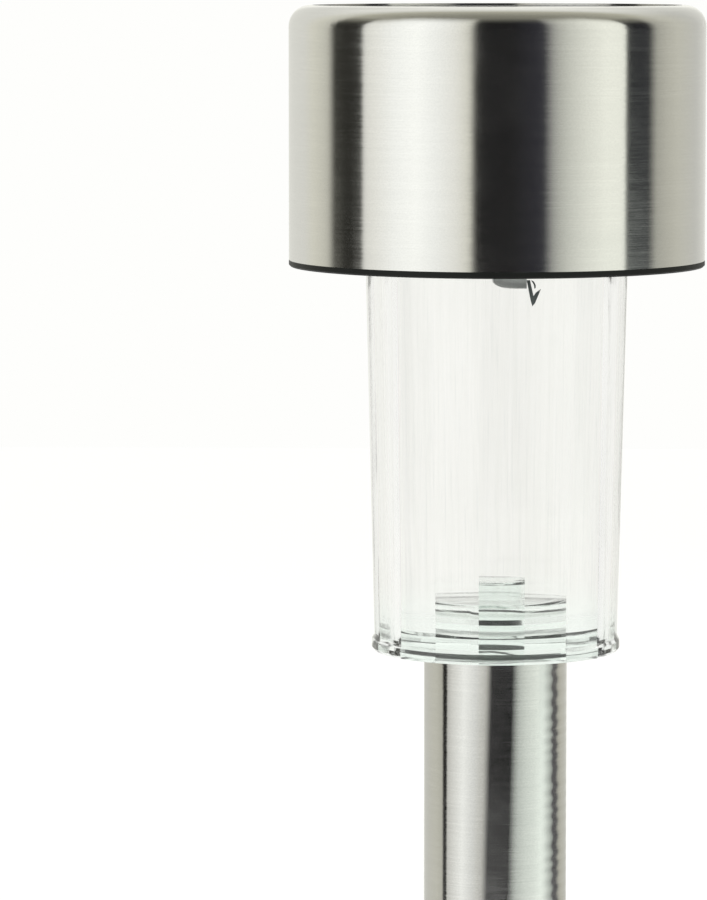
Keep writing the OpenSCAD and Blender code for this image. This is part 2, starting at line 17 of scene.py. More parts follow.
import bmesh
import bpy
from mathutils import Matrix, Vector
from mathutils.bvhtree import BVHTree

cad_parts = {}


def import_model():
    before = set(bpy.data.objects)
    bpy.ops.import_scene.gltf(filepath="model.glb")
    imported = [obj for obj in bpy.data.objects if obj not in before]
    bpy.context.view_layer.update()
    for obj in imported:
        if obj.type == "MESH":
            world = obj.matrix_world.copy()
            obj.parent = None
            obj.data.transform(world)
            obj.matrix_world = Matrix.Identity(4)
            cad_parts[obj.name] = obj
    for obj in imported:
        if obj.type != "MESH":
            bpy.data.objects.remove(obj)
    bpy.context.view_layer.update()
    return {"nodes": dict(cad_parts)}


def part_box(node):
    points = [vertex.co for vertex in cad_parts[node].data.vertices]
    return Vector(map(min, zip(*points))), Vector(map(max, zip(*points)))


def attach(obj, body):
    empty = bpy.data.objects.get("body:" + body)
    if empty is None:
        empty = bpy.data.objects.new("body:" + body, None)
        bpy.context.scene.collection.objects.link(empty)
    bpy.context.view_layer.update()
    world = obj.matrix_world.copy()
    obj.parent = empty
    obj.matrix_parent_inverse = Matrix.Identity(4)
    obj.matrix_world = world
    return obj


log = logging.getLogger("garden_light")

MM = 0.001
IMAGE_W = 707
IMAGE_H = 900
Colour = tuple[float, float, float]
Triple = tuple[float, float, float]
Pair = tuple[float, float]
Outline = tuple[Pair, ...]
Faces = list[tuple[int, ...]]
Material = bpy.types.Material
Piece = bpy.types.Object
Socket = bpy.types.NodeSocket
Source = Socket | float | Sequence[float]

# Image points in the photograph's 707 by 900 frame.
POINTS: dict[str, Pair] = {
    "cap_left": (286.6, 150.0),
    "cap_right": (701.9, 150.0),
    "cap_crest": (494.0, 4.0),
    "cap_edge": (494.0, 272.2),
    "rim_edge": (494.0, 278.8),
    "lens_left": (371.0, 450.0),
    "lens_right": (623.0, 450.0),
    "bead_left": (373.0, 643.0),
    "bead_right": (620.0, 643.0),
    "lens_foot": (497.0, 664.8),
    "pole_left": (425.5, 780.0),
    "pole_right": (568.2, 780.0),
    "lamp": (512.0, 287.0),
    "arrow_mark": (533.0, 294.0),
}


class Side(Enum):
    """Which edge of a piece is measured in the image."""

    LEFT = "left"
    RIGHT = "right"
    TOP = "top"
    BOTTOM = "bottom"


class Pattern(Enum):
    """Surface patterns that a moulded or coated finish can carry."""

    GRAIN = "grain"
    SMOOTH = "smooth"
    TRACKS = "tracks"


# -------- shader helpers


class Graph:
    """A node tree, with short calls for the nodes that the finishes and the studio use."""

    def __init__(self, tree: bpy.types.NodeTree) -> None:
        """Takes a node tree over and empties it."""
        self.tree = tree
        self.tree.nodes.clear()

    def add(self, kind: str, **inputs: Source) -> bpy.types.Node:
        """Adds a node.

        Args:
            kind: Blender's name for it, without ShaderNode.
            inputs: What its inputs are linked or set to, with underscores for spaces in their names.

        Returns:
            The node.
        """
        node = self.tree.nodes.new(f"ShaderNode{kind}")
        for name, source in inputs.items():
            self.link(source, node.inputs[name.replace("_", " ")])
        return node

    def link(self, source: Source, target: Socket) -> None:
        """Links a socket to an input, or sets the input to a constant.

        Args:
            source: A socket, or the number, vector or colour to set.
            target: The input.
        """
        if isinstance(source, Socket):
            self.tree.links.new(source, target)
        elif target.type == "RGBA":
            target.default_value = (*source, 1.0)
        else:
            target.default_value = source

    def place(self) -> Socket:
        """Gives the object coordinates, which are the part's own metres."""
        return self.add("TexCoord").outputs["Object"]

    def split(self, vector: Socket) -> bpy.types.NodeOutputs:
        """Gives the X, Y and Z outputs of a vector."""
        return self.add("SeparateXYZ", Vector=vector).outputs

    def math(self, operation: str, first: Source, second: Source = 0.0) -> Socket:
        """Adds a Math node.

        Args:
            operation: Blender's name of the operation.
            first: The first input, a socket or a number.
            second: The second input.

        Returns:
            The result's socket.
        """
        node = self.add("Math")
        node.operation = operation
        self.link(first, node.inputs[0])
        self.link(second, node.inputs[1])
        return node.outputs[0]

    def vector(self, operation: str, first: Socket, second: Source = (0.0, 0.0, 0.0)) -> Socket:
        """Adds a Vector Math node.

        Args:
            operation: Blender's name of the operation.
            first: The first vector.
            second: The second vector, or the factor of SCALE.

        Returns:
            The result's socket.
        """
        node = self.add("VectorMath")
        node.operation = operation
        self.link(first, node.inputs[0])
        self.link(second, node.inputs["Scale"] if operation == "SCALE" else node.inputs[1])
        return node.outputs[0]

    def noise(self, vector: Socket, scale: float | Sequence[float], detail: float, rough: float) -> Socket:
        """Adds a noise texture.

        Args:
            vector: The place that it is read at.
            scale: Its scale, one number or one for each axis.
            detail: Number of finer octaves.
            rough: Weight of the finer octaves.

        Returns:
            The noise, about 0 to 1.
        """
        if not isinstance(scale, float):
            vector = self.vector("MULTIPLY", vector, scale)
            scale = 1.0
        node = self.add("TexNoise", Vector=vector, Scale=scale, Detail=detail, Roughness=rough)
        return node.outputs["Fac"]

    def ranged(self, value: Socket, low: float, high: float, to_low: float = 0.0,
               to_high: float = 1.0) -> Socket:
        """Maps a value from one range to another, clamped.

        Args:
            value: The value to map.
            low: Start of the input range.
            high: End of the input range.
            to_low: Result at the start.
            to_high: Result at the end.

        Returns:
            The mapped value.
        """
        node = self.add("MapRange", Value=value, From_Min=low, From_Max=high, To_Min=to_low, To_Max=to_high)
        return node.outputs["Result"]

    def blend(self, factor: Socket, first: Source, second: Source) -> Socket:
        """Mixes two colours by a factor.

        Args:
            factor: 0 gives the first colour and 1 the second.
            first: A colour or a colour socket.
            second: A colour or a colour socket.

        Returns:
            The mixed colour.
        """
        node = self.add("Mix")
        node.data_type = "RGBA"
        self.link(factor, node.inputs["Factor"])
        colours = [socket for socket in node.inputs if socket.type == "RGBA"]
        self.link(first, colours[0])
        self.link(second, colours[1])
        return next(socket for socket in node.outputs if socket.type == "RGBA")

    def seen(self) -> Socket:
        """Gives 1 to camera, gloss and transmission rays and 0 to the rest.

        Returns:
            The factor's socket.
        """
        path = self.add("LightPath").outputs
        seen = self.math("MAXIMUM", path["Is Camera Ray"], path["Is Glossy Ray"])
        return self.math("MAXIMUM", seen, path["Is Transmission Ray"])


class Shader(Graph):
    """The node tree of one material, with a Principled shader."""

    def __init__(self, name: str) -> None:
        """Makes the material.

        Args:
            name: Name of the material.
        """
        self.material = bpy.data.materials.new(name)
        self.material.use_nodes = True
        super().__init__(self.material.node_tree)
        self.surface = self.add("BsdfPrincipled")
        self.output = self.add("OutputMaterial", Surface=self.surface.outputs["BSDF"])

    def set(self, **values: float | Colour) -> None:
        """Sets constant inputs of the Principled shader, with underscores for spaces in their names."""
        for key, value in values.items():
            self.link(value, self.surface.inputs[key.replace("_", " ")])

    def feed(self, source: Socket, name: str) -> None:
        """Links a socket to the named input of the Principled shader."""
        self.link(source, self.surface.inputs[name])

    def sway(self, amount: Socket) -> None:
        """Turns the shader's normal round the upright axis.

        Args:
            amount: The turn in radians.
        """
        normal = self.add("NewGeometry").outputs["Normal"]
        x, y, _ = self.split(normal)
        side = self.add("CombineXYZ", X=self.math("MULTIPLY", y, -1.0), Y=x)
        turned_by = self.vector("SCALE", side.outputs[0], amount)
        self.feed(self.vector("NORMALIZE", self.vector("ADD", normal, turned_by)), "Normal")

    def bump(self, height: Socket, depth: float) -> None:
        """Adds a relief to the shader's normal, over what turns it already.

        Args:
            height: The relief, about 0 to 1.
            depth: Its depth in metres.
        """
        node = self.add("Bump", Distance=depth, Strength=1.0, Height=height)
        for before in self.surface.inputs["Normal"].links:
            self.link(before.from_socket, node.inputs["Normal"])
        self.feed(node.outputs["Normal"], "Normal")


def tinted(colour: Colour, factor: float) -> Colour:
    """Gives a colour made lighter or darker by a factor."""
    return (colour[0] * factor, colour[1] * factor, colour[2] * factor)


# -------- finishes


@dataclass(frozen=True)
class Finish:
    """The finish of a surface. Each kind lays its colour, roughness and relief in its own way."""

    name: str

    def build(self) -> Material:
        """Makes the material."""
        shader = Shader(self.name)
        self.paint(shader, shader.place())
        return shader.material

    def paint(self, shader: Shader, place: Socket) -> None:
        """Lays the finish on a shader, with its patterns read at a place in metres."""
        raise NotImplementedError


@dataclass(frozen=True)
class BrushedSteel(Finish):
    """Stainless sheet or tube with fine lines that run round the axis.

    Hair, oval and chatter are the most that a brushed line, the tube's slow change of section and the
    polishing marks turn the surface sideways, in radians. The shades are those of the dark lines, the bright
    lines and the wide bands.
    """

    colour: Colour = (0.8, 0.795, 0.782)
    shades: Triple = (0.955, 1.03, 0.97)
    roughness: float = 0.145
    anisotropy: float = 0.75
    line_height: float = 0.16 * MM
    line_length: float = 9.0 * MM
    line_depth: float = 0.0006 * MM
    smudge_scale: float = 70.0
    grain_size: float = 0.22 * MM
    speckle: float = 0.03
    speckle_roughness: float = 0.3
    hair: float = 0.022
    oval: float = 0.0
    oval_length: float = 120.0 * MM
    oval_middle: float = 160.0 * MM
    chatter: float = 0.0
    chatter_pitch: float = 1.75 * MM
    chatter_side: Pair = (3.5 * MM, 7.5 * MM)
    chatter_drift: Triple = (20.0, 20.0, 160.0)
    chatter_shift: float = 9.0

    def paint(self, shader: Shader, place: Socket) -> None:
        """Lays the finish on a shader."""
        shader.set(Metallic=1.0, Anisotropic=self.anisotropy, Anisotropic_Rotation=0.25)
        tangent = shader.add("Tangent")
        tangent.direction_type = "RADIAL"
        tangent.axis = "Z"
        shader.feed(tangent.outputs["Tangent"], "Tangent")
        along = 1.0 / self.line_length
        lines = shader.noise(place, (along, along, 1.0 / self.line_height), 4.0, 0.7)
        bands = shader.noise(place, (along / 4, along / 4, 0.12 / self.line_height), 2.0, 0.5)
        smudge = shader.noise(place, self.smudge_scale, 3.0, 0.6)
        dark, bright, wide = (tinted(self.colour, shade) for shade in self.shades)
        shade = shader.blend(shader.ranged(lines, 0.3, 0.7), dark, bright)
        shade = shader.blend(shader.ranged(bands, 0.35, 0.75), shade, wide)
        grain = shader.noise(place, 1.0 / self.grain_size, 2.0, 0.6)
        speckle = shader.ranged(grain, 0.3, 0.7, -self.speckle, self.speckle)
        shader.feed(shader.vector("SCALE", shade, shader.math("ADD", speckle, 1.0)), "Base Color")
        rough = shader.ranged(lines, 0.25, 0.75, self.roughness - 0.03, self.roughness + 0.04)
        rough = shader.math("ADD", rough, shader.ranged(smudge, 0.45, 0.75, -0.01, 0.03))
        speckle = shader.math("MULTIPLY", speckle, self.speckle_roughness)
        shader.feed(shader.math("ADD", rough, speckle), "Roughness")
        shader.sway(self._sideways(shader, place, lines))
        shader.bump(lines, self.line_depth)

    def _sideways(self, shader: Shader, place: Socket, lines: Socket) -> Socket:
        """Gives how far the surface turns sideways at each place.

        Args:
            shader: The shader that it belongs to.
            place: The part's own metres.
            lines: The noise of the brushed lines.

        Returns:
            The turn in radians.
        """
        x, y, z = shader.split(place)
        turn = shader.math("MULTIPLY", shader.math("SUBTRACT", lines, 0.5), self.hair)
        if self.oval:
            wave = shader.math("SUBTRACT", z, self.oval_middle)
            wave = shader.math("SINE", shader.math("MULTIPLY", wave, -math.tau / self.oval_length))
            twice = shader.math("MULTIPLY", shader.math("ARCTAN2", x, shader.math("MULTIPLY", y, -1.0)), 2.0)
            bend = shader.math("MULTIPLY", shader.math("COSINE", twice), wave)
            turn = shader.math("ADD", turn, shader.math("MULTIPLY", bend, self.oval))
        if self.chatter:
            slow = shader.noise(place, self.chatter_drift, 1.0, 0.5)
            phase = shader.math("MULTIPLY", z, math.tau / self.chatter_pitch)
            phase = shader.math("ADD", phase, shader.math("MULTIPLY", slow, self.chatter_shift))
            marks = shader.ranged(slow, 0.25, 0.6, 0.4, 1.0)
            marks = shader.math("MULTIPLY", shader.math("SINE", phase), marks)
            marks = shader.math("MULTIPLY", marks, shader.ranged(x, *self.chatter_side, 0.0, self.chatter))
            turn = shader.math("ADD", turn, marks)
        return turn


@dataclass(frozen=True)
class ClearPlastic(Finish):
    """Clear moulded plastic with faint flow streaks along the axis."""

    colour: Colour
    roughness: float
    streak: Colour
    foot: Colour
    ior: float = 1.49
    flow_depth: float = 0.004 * MM
    flow_scale: Triple = (500.0, 500.0, 25.0)
    cloud_scale: float = 120.0
    streak_width: float = 1.1 * MM
    streak_scale: float = 9.0
    hair_fineness: float = 3.5
    hair_scale: float = 14.0
    hairline: Colour = (0.88, 0.888, 0.875)
    foot_heights: Pair = (177.5 * MM, 184.0 * MM)

    def paint(self, shader: Shader, place: Socket) -> None:
        """Lays the finish on a shader."""
        shader.set(Metallic=0.0, IOR=self.ior, Transmission_Weight=1.0)
        flow = shader.noise(place, self.flow_scale, 2.0, 0.5)
        cloud = shader.noise(place, self.cloud_scale, 2.0, 0.5)
        across = 1.0 / self.streak_width
        streaks = shader.noise(place, (across, across, self.streak_scale), 6.0, 0.75)
        shade = shader.blend(shader.ranged(cloud, 0.3, 0.8), self.colour, tinted(self.colour, 0.985))
        shade = shader.blend(shader.ranged(streaks, 0.42, 0.68), shade, self.streak)
        across *= self.hair_fineness
        hairs = shader.noise(place, (across, across, self.hair_scale), 2.0, 0.6)
        shade = shader.blend(shader.ranged(hairs, 0.58, 0.72), shade, self.hairline)
        height = shader.split(place)[2]
        shade = shader.blend(shader.ranged(height, *self.foot_heights, 1.0, 0.0), shade, self.foot)
        shader.feed(shade, "Base Color")
        shader.feed(shader.ranged(cloud, 0.4, 0.8, self.roughness * 0.5, self.roughness * 1.5), "Roughness")
        shader.bump(flow, self.flow_depth)


@dataclass(frozen=True)
class Plastic(Finish):
    """Opaque moulded plastic, rubber, laminate or epoxy."""

    colour: Colour
    roughness: float
    grain_size: float = 0.35 * MM
    grain_depth: float = 0.004 * MM
    cloud_scale: float = 90.0
    track_scale: float = 260.0
    coat: float = 0.0
    shine: float = 0.5
    pattern: Pattern = Pattern.GRAIN
    second: Colour | None = None

    def paint(self, shader: Shader, place: Socket) -> None:
        """Lays the finish on a shader."""
        shader.set(Metallic=0.0, Coat_Weight=self.coat, Coat_Roughness=0.12, IOR=1.5,
                   Specular_IOR_Level=self.shine)
        grain = shader.noise(place, 1.0 / self.grain_size, 3.0, 0.6)
        cloud = shader.noise(place, self.cloud_scale, 4.0, 0.6)
        other = self.second or tinted(self.colour, 1.5)
        mask = shader.ranged(cloud, 0.4, 0.75)
        if self.pattern is Pattern.TRACKS:
            mask = self._tracks(shader, place)
        shader.feed(shader.blend(mask, self.colour, other), "Base Color")
        shader.feed(shader.ranged(cloud, 0.3, 0.8, self.roughness - 0.06, self.roughness + 0.1), "Roughness")
        if self.pattern is not Pattern.SMOOTH:
            shader.bump(grain, self.grain_depth)

    def _tracks(self, shader: Shader, place: Socket) -> Socket:
        """Gives the mask of the conductor tracks under a board's solder resist."""
        cells = shader.add("TexVoronoi", Vector=place, Scale=self.track_scale)
        cells.feature = "DISTANCE_TO_EDGE"
        return shader.ranged(cells.outputs["Distance"], 0.06, 0.1, 1.0, 0.0)


@dataclass(frozen=True)
class PlatedMetal(Finish):
    """Plated or tinned metal of small parts."""

    colour: Colour = (0.72, 0.72, 0.71)
    roughness: float = 0.22
    tarnish: Colour = (0.5, 0.48, 0.43)
    spot_scale: float = 900.0
    fine_scale: float = 5000.0
    relief: float = 0.002 * MM

    def paint(self, shader: Shader, place: Socket) -> None:
        """Lays the finish on a shader."""
        shader.set(Metallic=1.0)
        spots = shader.noise(place, self.spot_scale, 4.0, 0.65)
        fine = shader.noise(place, self.fine_scale, 2.0, 0.5)
        shader.feed(shader.blend(shader.ranged(spots, 0.5, 0.8), self.colour, self.tarnish), "Base Color")
        shader.feed(shader.ranged(spots, 0.3, 0.8, self.roughness, self.roughness + 0.2), "Roughness")
        shader.bump(fine, self.relief)


@dataclass(frozen=True)
class SolarCell(Finish):
    """Dark blue silicon with a fine silver grid."""

    colour: Colour = (0.008, 0.014, 0.05)
    facet: Colour = (0.02, 0.035, 0.11)
    finger: Colour = (0.5, 0.52, 0.55)
    finger_pitch: float = 1.6 * MM
    finger_share: float = 0.09
    finger_height: float = 0.01 * MM
    crystal_scale: float = 420.0

    def paint(self, shader: Shader, place: Socket) -> None:
        """Lays the finish on a shader."""
        shader.set(Metallic=0.0, Roughness=0.25, IOR=1.6)
        cells = shader.add("TexVoronoi", Vector=place, Scale=self.crystal_scale)
        shade = shader.blend(shader.split(cells.outputs["Color"])[0], self.colour, self.facet)
        across = shader.math("DIVIDE", shader.split(place)[1], self.finger_pitch)
        line = shader.math("LESS_THAN", shader.math("FRACT", across), self.finger_share)
        shader.feed(shader.blend(line, shade, self.finger), "Base Color")
        shader.bump(line, self.finger_height)


@dataclass(frozen=True)
class ClearEpoxy(Finish):
    """Cast epoxy of the lamp or over the solar cells."""

    colour: Colour = (0.95, 0.96, 0.95)
    roughness: float = 0.04
    ior: float = 1.53
    clearness: float = 1.0
    cloud_scale: float = 400.0
    wave_scale: float = 160.0
    wave_depth: float = 0.02 * MM

    def paint(self, shader: Shader, place: Socket) -> None:
        """Lays the finish on a shader."""
        shader.set(Metallic=0.0, IOR=self.ior, Transmission_Weight=self.clearness)
        cloud = shader.noise(place, self.cloud_scale, 3.0, 0.6)
        shade = shader.blend(shader.ranged(cloud, 0.3, 0.8), self.colour, tinted(self.colour, 0.96))
        shader.feed(shade, "Base Color")
        shader.feed(shader.ranged(cloud, 0.3, 0.8, self.roughness, self.roughness * 2.5), "Roughness")
        shader.bump(shader.noise(place, self.wave_scale, 2.0, 0.5), self.wave_depth)


Slots = tuple[tuple[str, Finish], ...]


# -------- camera and image points


@dataclass
class PhotoCamera:
    """The photograph's camera and the image points that settle it."""

    lens: float = 196.0
    sensor: float = 36.0
    distance: float = 648.0 * MM
    height: float = 267.0 * MM
    aim: Triple = (-18.95 * MM, 0.0, 201.5 * MM)
    camera: Piece | None = None
    misses: dict[str, list[float]] = field(default_factory=dict)

    def build(self) -> None:
        """Makes the camera and sets it as the scene's own."""
        data = bpy.data.cameras.new("photo_camera")
        data.sensor_fit = "AUTO"
        data.sensor_width = self.sensor
        data.lens = self.lens
        data.clip_end = 50.0
        self.camera = bpy.data.objects.new("photo_camera", data)
        place = Vector((0.0, -self.distance, self.height))
        turn = (Vector(self.aim) - place).to_track_quat("-Z", "Y").to_matrix().to_4x4()
        self.camera.matrix_world = Matrix.Translation(place) @ turn
        bpy.context.scene.collection.objects.link(self.camera)
        bpy.context.scene.camera = self.camera

    def ray(self, point: Pair) -> tuple[Vector, Vector]:
        """Gives the ray through an image point.

        Args:
            point: x and y in the photograph's frame.

        Returns:
            Where the ray starts and its direction, in the part's frame.
        """
        data = self.camera.data
        side = max(IMAGE_W, IMAGE_H)
        local = Vector((point[0] - IMAGE_W / 2 + data.shift_x * side,
                        IMAGE_H / 2 - point[1] + data.shift_y * side,
                        -side * data.lens / data.sensor_width))
        matrix = self.camera.matrix_world
        return matrix.translation.copy(), (matrix.to_3x3() @ local).normalized()

    def pixel(self, place: Vector) -> Pair:
        """Gives the image place of a point of the part."""
        data = self.camera.data
        side = max(IMAGE_W, IMAGE_H)
        local = self.camera.matrix_world.inverted() @ place
        scale = side * data.lens / data.sensor_width / -local.z
        return (IMAGE_W / 2 - data.shift_x * side + local.x * scale,
                IMAGE_H / 2 + data.shift_y * side - local.y * scale)

    def put(self, point: Pair, carrier: Piece) -> tuple[Vector, Vector]:
        """Finds where an image point lies on a finished piece.

        Args:
            point: x and y in the photograph's frame.
            carrier: The piece that carries what is placed.

        Returns:
            The place on the surface and its normal.
        """
        mesh = finished_mesh(carrier)
        tree = surface_tree(mesh)
        start, way = self.ray(point)
        hit, normal, _, _ = tree.ray_cast(start, way)
        if hit is None:
            nearest = min((v.co for v in mesh.vertices), key=lambda c: (c - start).cross(way).length)
            hit, normal, _, _ = tree.find_nearest(nearest)
        return hit, normal

    def edge(self, piece: Piece, side: Side, at: float) -> float:
        """Measures where a piece's edge shows in the image.

        Args:
            piece: The piece.
            side: The edge to measure.
            at: The row for a left or right edge, or the column for a top or bottom edge.

        Returns:
            The x of a left or right edge, or the y of a top or bottom edge.
        """
        mesh = finished_mesh(piece)
        flat = [self.pixel(v.co) for v in mesh.vertices]
        across = 1 if side in (Side.LEFT, Side.RIGHT) else 0
        found: list[float] = []
        for edge in mesh.edges:
            first, second = flat[edge.vertices[0]], flat[edge.vertices[1]]
            low, high = first[across] - at, second[across] - at
            if low * high <= 0 and low != high:
                share = low / (low - high)
                found.append(first[1 - across] + share * (second[1 - across] - first[1 - across]))
        if not found:
            return math.nan
        return min(found) if side in (Side.LEFT, Side.TOP) else max(found)

    def check(self, name: str, piece: Piece, side: Side) -> None:
        """Notes how far an edge shows from its image point."""
        x, y = POINTS[name]
        if side in (Side.LEFT, Side.RIGHT):
            self.misses[name] = [round(self.edge(piece, side, y) - x, 2), 0.0]
        else:
            self.misses[name] = [0.0, round(self.edge(piece, side, x) - y, 2)]

    def check_place(self, name: str, place: Vector) -> None:
        """Notes how far a place shows from its image point."""
        x, y = self.pixel(place)
        self.misses[name] = [round(x - POINTS[name][0], 2), round(y - POINTS[name][1], 2)]


def finished_mesh(piece: Piece) -> bpy.types.Mesh:
    """Gives a piece's mesh with its modifiers, in the part's frame.

    Args:
        piece: The piece.

    Returns:
        A mesh of its own.
    """
    graph = bpy.context.evaluated_depsgraph_get()
    mesh = bpy.data.meshes.new_from_object(piece.evaluated_get(graph))
    mesh.transform(piece.matrix_world)
    return mesh


def surface_tree(mesh: bpy.types.Mesh) -> BVHTree:
    """Gives the search tree of a mesh's faces."""
    return BVHTree.FromPolygons([v.co for v in mesh.vertices], [tuple(p.vertices) for p in mesh.polygons])


# -------- studio


@dataclass(frozen=True)
class Stop:
    """Brightness and tint of the studio in one direction.

    The angle goes round the light, in degrees from the camera, with the left negative.
    """

    angle: float
    level: float
    tint: Colour


def stops(tint: Colour, *levels: Pair) -> tuple[Stop, ...]:
    """Gives neighbouring stops of one tint from pairs of an angle and a level."""
    return tuple(Stop(angle, level, tint) for angle, level in levels)


SOFTBOX_WHITE: Colour = (0.985, 1.0, 0.96)
SOFTBOX_EDGE: Colour = (1.0, 1.0, 0.93)
SOFTBOX_COOL: Colour = (0.925, 1.0, 0.92)
SOFTBOX_WARM: Colour = (1.0, 1.015, 0.91)
ROOM_SIDE: Colour = (1.0, 0.99, 0.86)
ROOM_BACK: Colour = (1.0, 1.0, 0.93)
BLACK_CARD: Colour = (1.0, 0.98, 1.0)
BROWN_CARD: Colour = (1.0, 0.98, 0.82)
BLUE_CARD: Colour = (1.0, 1.0, 1.25)
CEILING_OLIVE: Colour = (1.0, 0.985, 0.8)


@dataclass
class Studio:
    """Floor, world, lamps and the softboxes that show only in glossy surfaces.

    The ceiling's stops don't go round: they run from the dome's near side at -180 to its far side at 180.
    """

    floor_z: float = -100.5 * MM
    floor_size: float = 6.0
    floor_colour: Colour = (0.16, 0.16, 0.158)
    floor_glow: float = 0.86
    dome_radius: float = 1.0
    dome_z: float = 250.0 * MM
    dome_steps: int = 96
    dome_rings: int = 40
    peak: float = 1.3
    light_bounces: int = 48
    head_elevation: float = -6.0
    pole_elevation: float = -12.0
    box_top: float = 28.0
    box_fade: float = 28.0
    box_curve: float = 1.6
    card_angle: float = 88.0
    card_drop: float = 14.0
    card_reach: Pair = (12.0, 30.0)
    white: Colour = (0.991, 0.991, 0.974)
    diffuse_level: float = 0.55
    lamp_aim: Triple = (0.0, 0.0, 0.12)
    head_stops: tuple[Stop, ...] = (
        *stops(ROOM_BACK, (-174, 1.0), (-167, 0.77)),
        *stops(SOFTBOX_EDGE, (-132, 0.78)),
        *stops(ROOM_SIDE, (-120, 0.76), (-110, 0.67), (-105, 0.58)),
        *stops(BROWN_CARD, (-99.5, 0.03), (-78.8, 0.025)),
        *stops(SOFTBOX_EDGE, (-77.0, 0.86), (-70, 0.95)),
        *stops(SOFTBOX_WHITE, (-57, 1.125), (-44, 1.24), (-33, 1.11)),
        *stops(SOFTBOX_EDGE, (-22, 0.97)),
        *stops(ROOM_SIDE, (-14.6, 0.82)),
        *stops(BLACK_CARD, (-11.8, 0.01), (8, 0.016)),
        *stops(BLUE_CARD, (25.5, 0.035)),
        *stops(SOFTBOX_EDGE, (30.5, 0.4)),
        *stops(SOFTBOX_WARM, (34, 0.53), (40, 0.69), (50, 0.88), (61, 1.03), (73.4, 1.02)),
        *stops(BLUE_CARD, (74.6, 0.01), (90.5, 0.02)),
        *stops(ROOM_SIDE, (97, 0.44), (106, 0.56), (116, 0.63)),
        *stops(SOFTBOX_EDGE, (140, 0.61)),
        *stops(ROOM_BACK, (167, 0.77), (174, 1.0)),
    )
    pole_stops: tuple[Stop, ...] = (
        *stops(ROOM_BACK, (-174, 0.95), (-159, 0.63)),
        *stops(ROOM_SIDE, (-110, 0.6), (-95, 0.53)),
        *stops(BROWN_CARD, (-92.2, 0.01), (-85.8, 0.015)),
        *stops(SOFTBOX_EDGE, (-83, 0.64)),
        *stops(SOFTBOX_WHITE, (-53, 1.035), (-35, 0.785)),
        *stops(SOFTBOX_EDGE, (-25, 0.63), (-18.5, 0.52)),
        *stops(BLACK_CARD, (-9, 0.01), (24, 0.0)),
        *stops(SOFTBOX_COOL, (33, 0.43), (38, 0.6), (50, 0.77), (66, 0.9), (80, 1.1), (86, 1.0), (91, 0.82),
               (98, 0.56), (103, 0.4)),
        *stops(BLACK_CARD, (107, 0.1), (116, 0.11)),
        *stops(ROOM_SIDE, (124, 0.45), (133, 0.55)),
        *stops(ROOM_BACK, (161, 0.62), (174, 0.95)),
    )
    ceiling_stops: tuple[Stop, ...] = (
        *stops(CEILING_OLIVE, (-180, 0.2), (-110, 0.22), (-62, 0.26), (-36, 0.31), (-7, 0.39), (14, 0.44),
               (35, 0.54)),
        *stops(SOFTBOX_EDGE, (73, 0.84), (108, 1.0)),
    )

    def build(self) -> None:
        """Makes the whole studio."""
        self._paths()
        self._world()
        self._floor()
        self._dome()
        self._lamp("key_lamp", (-1.1, -1.3, 1.3), 1.0, 20.0)
        self._lamp("fill_lamp", (1.3, -0.9, 0.8), 1.1, 11.0)
        self._lamp("back_lamp", (0.3, 1.5, 1.2), 1.2, 12.0)

    def _paths(self) -> None:
        """Lets light pass through all the walls of the clear lens, where few bounces leave black bands."""
        paths = bpy.context.scene.cycles
        paths.max_bounces = self.light_bounces
        paths.transmission_bounces = self.light_bounces
        paths.glossy_bounces = self.light_bounces

    def _world(self) -> None:
        """Makes a world that shows white behind the object and lights it less."""
        world = bpy.data.worlds.new("studio_world")
        world.use_nodes = True
        graph = Graph(world.node_tree)
        mix = graph.add("MixShader", Fac=graph.seen())
        for slot, level in ((1, self.diffuse_level), (2, 1.0)):
            light = graph.add("Background", Color=self.white, Strength=level)
            graph.link(light.outputs[0], mix.inputs[slot])
        graph.add("OutputWorld", Surface=mix.outputs[0])
        bpy.context.scene.world = world

    def _floor(self) -> None:
        """Makes a floor that shows white and keeps the object's shadow."""
        shader = Shader("studio_floor")
        shader.set(Base_Color=self.floor_colour, Roughness=0.9)
        level = shader.math("MULTIPLY", shader.seen(), self.floor_glow)
        glow = shader.add("Emission", Color=self.white, Strength=level)
        both = shader.add("AddShader")
        shader.link(shader.surface.outputs[0], both.inputs[0])
        shader.link(glow.outputs[0], both.inputs[1])
        shader.link(both.outputs[0], shader.output.inputs["Surface"])
        half = self.floor_size / 2
        corners = [(-half, -half, self.floor_z), (half, -half, self.floor_z), (half, half, self.floor_z),
                   (-half, half, self.floor_z)]
        floor = mesh_object("studio_floor", corners, [(0, 1, 2, 3)], shader.material)

    def _dome(self) -> None:
        """Makes the dome of softboxes, black cards and ceiling, seen only by glossy rays."""
        shader = Shader("studio_softboxes")
        glow = shader.add("Emission", Color=self._shine(shader), Strength=self.peak)
        shader.link(glow.outputs[0], shader.output.inputs["Surface"])
        low = math.asin((self.floor_z - self.dome_z) / self.dome_radius)
        corners: list[Triple] = []
        for ring in range(self.dome_rings):
            tilt = low + (math.pi / 2 - low) * ring / self.dome_rings
            reach, rise = self.dome_radius * math.cos(tilt), self.dome_radius * math.sin(tilt)
            for step in range(self.dome_steps):
                angle = math.tau * step / self.dome_steps
                corners.append((reach * math.sin(angle), -reach * math.cos(angle), self.dome_z + rise))
        faces = ring_faces(self.dome_rings, self.dome_steps)
        faces.append(tuple(range(len(corners) - self.dome_steps, len(corners))))
        dome = mesh_object("studio_softboxes", corners, faces, shader.material)
        dome.visible_camera = False
        dome.visible_diffuse = False
        dome.visible_transmission = False
        dome.visible_shadow = False

